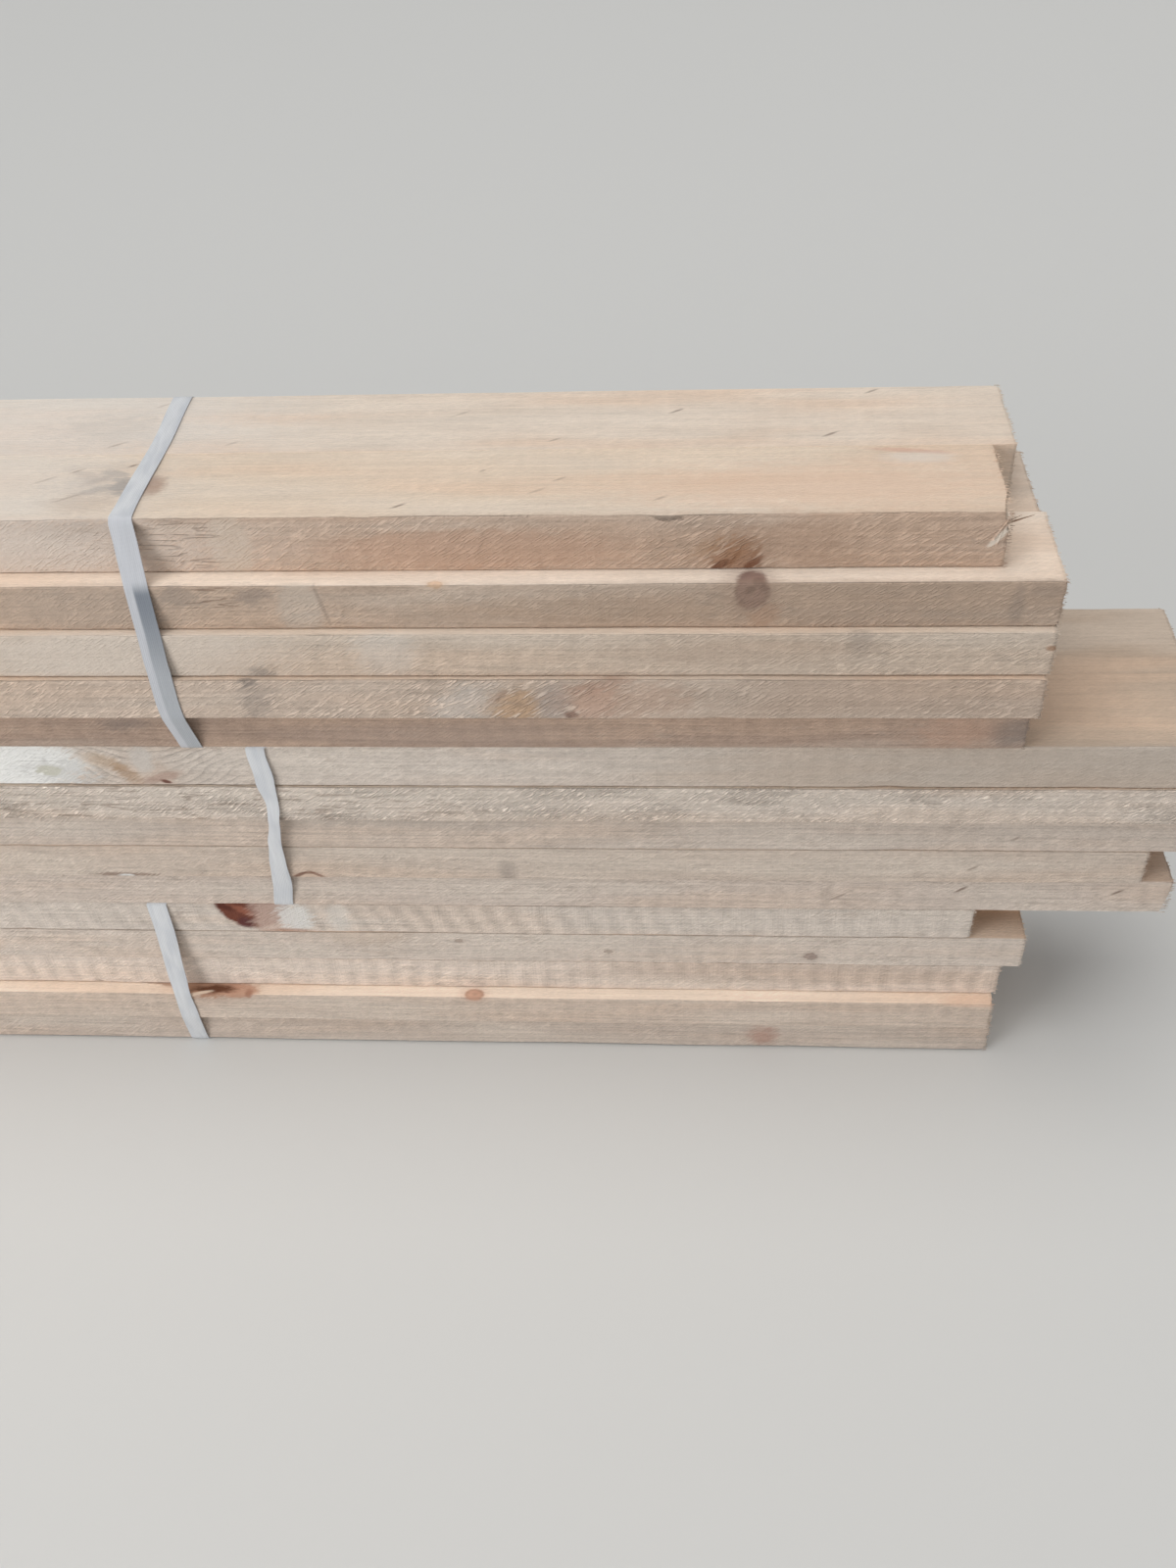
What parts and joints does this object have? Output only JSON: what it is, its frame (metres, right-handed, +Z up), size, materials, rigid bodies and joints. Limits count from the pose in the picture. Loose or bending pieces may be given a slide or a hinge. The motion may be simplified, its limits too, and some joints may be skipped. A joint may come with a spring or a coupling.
{
  "type": "stack of strapped softwood battens",
  "caption": "Pile of rough sawn pine battens in strapped bundles lying flat on one another, their ends staggered; each strap is a flat plastic band.",
  "frame": {"origin": "middle of the pile's footprint, on the floor", "axes": "+X along the studs towards the staggered ends that the picture shows, +Y from the front of the pile to its back, +Z up"},
  "size_m": [1.9134, 0.1174, 0.3318],
  "materials": {
    "sawn_pine": "rough sawn, unplaned, slightly weathered",
    "strap_plastic": "translucent white polypropylene strapping with fine lengthwise ribs"
  },
  "bodies": {
    "root": {"bottom_layer1_back_stud": "sawn_pine", "bottom_layer1_front_stud": "sawn_pine", "bottom_layer2_back_stud": "sawn_pine", "bottom_layer2_front_stud": "sawn_pine", "bottom_layer3_back_stud": "sawn_pine", "bottom_layer3_front_stud": "sawn_pine", "bottom_layer4_back_stud": "sawn_pine", "bottom_layer4_front_stud": "sawn_pine", "bottom_layer5_back_stud": "sawn_pine", "bottom_layer5_front_stud": "sawn_pine", "bottom_left_strap": "strap_plastic", "bottom_right_strap": "strap_plastic", "middle_layer1_back_stud": "sawn_pine", "middle_layer1_front_stud": "sawn_pine", "middle_layer2_back_stud": "sawn_pine", "middle_layer2_front_stud": "sawn_pine", "middle_layer3_back_stud": "sawn_pine", "middle_layer3_front_stud": "sawn_pine", "middle_layer4_back_stud": "sawn_pine", "middle_layer4_front_stud": "sawn_pine", "middle_layer5_back_stud": "sawn_pine", "middle_layer5_front_stud": "sawn_pine", "middle_left_strap": "strap_plastic", "middle_right_strap": "strap_plastic", "top_layer1_back_stud": "sawn_pine", "top_layer1_front_stud": "sawn_pine", "top_layer2_back_stud": "sawn_pine", "top_layer2_front_stud": "sawn_pine", "top_layer3_back_stud": "sawn_pine", "top_layer3_front_stud": "sawn_pine", "top_layer4_back_stud": "sawn_pine", "top_layer4_front_stud": "sawn_pine", "top_layer5_back_stud": "sawn_pine", "top_layer5_front_stud": "sawn_pine", "top_left_strap": "strap_plastic", "top_right_strap": "strap_plastic"}
  },
  "joints": []
}
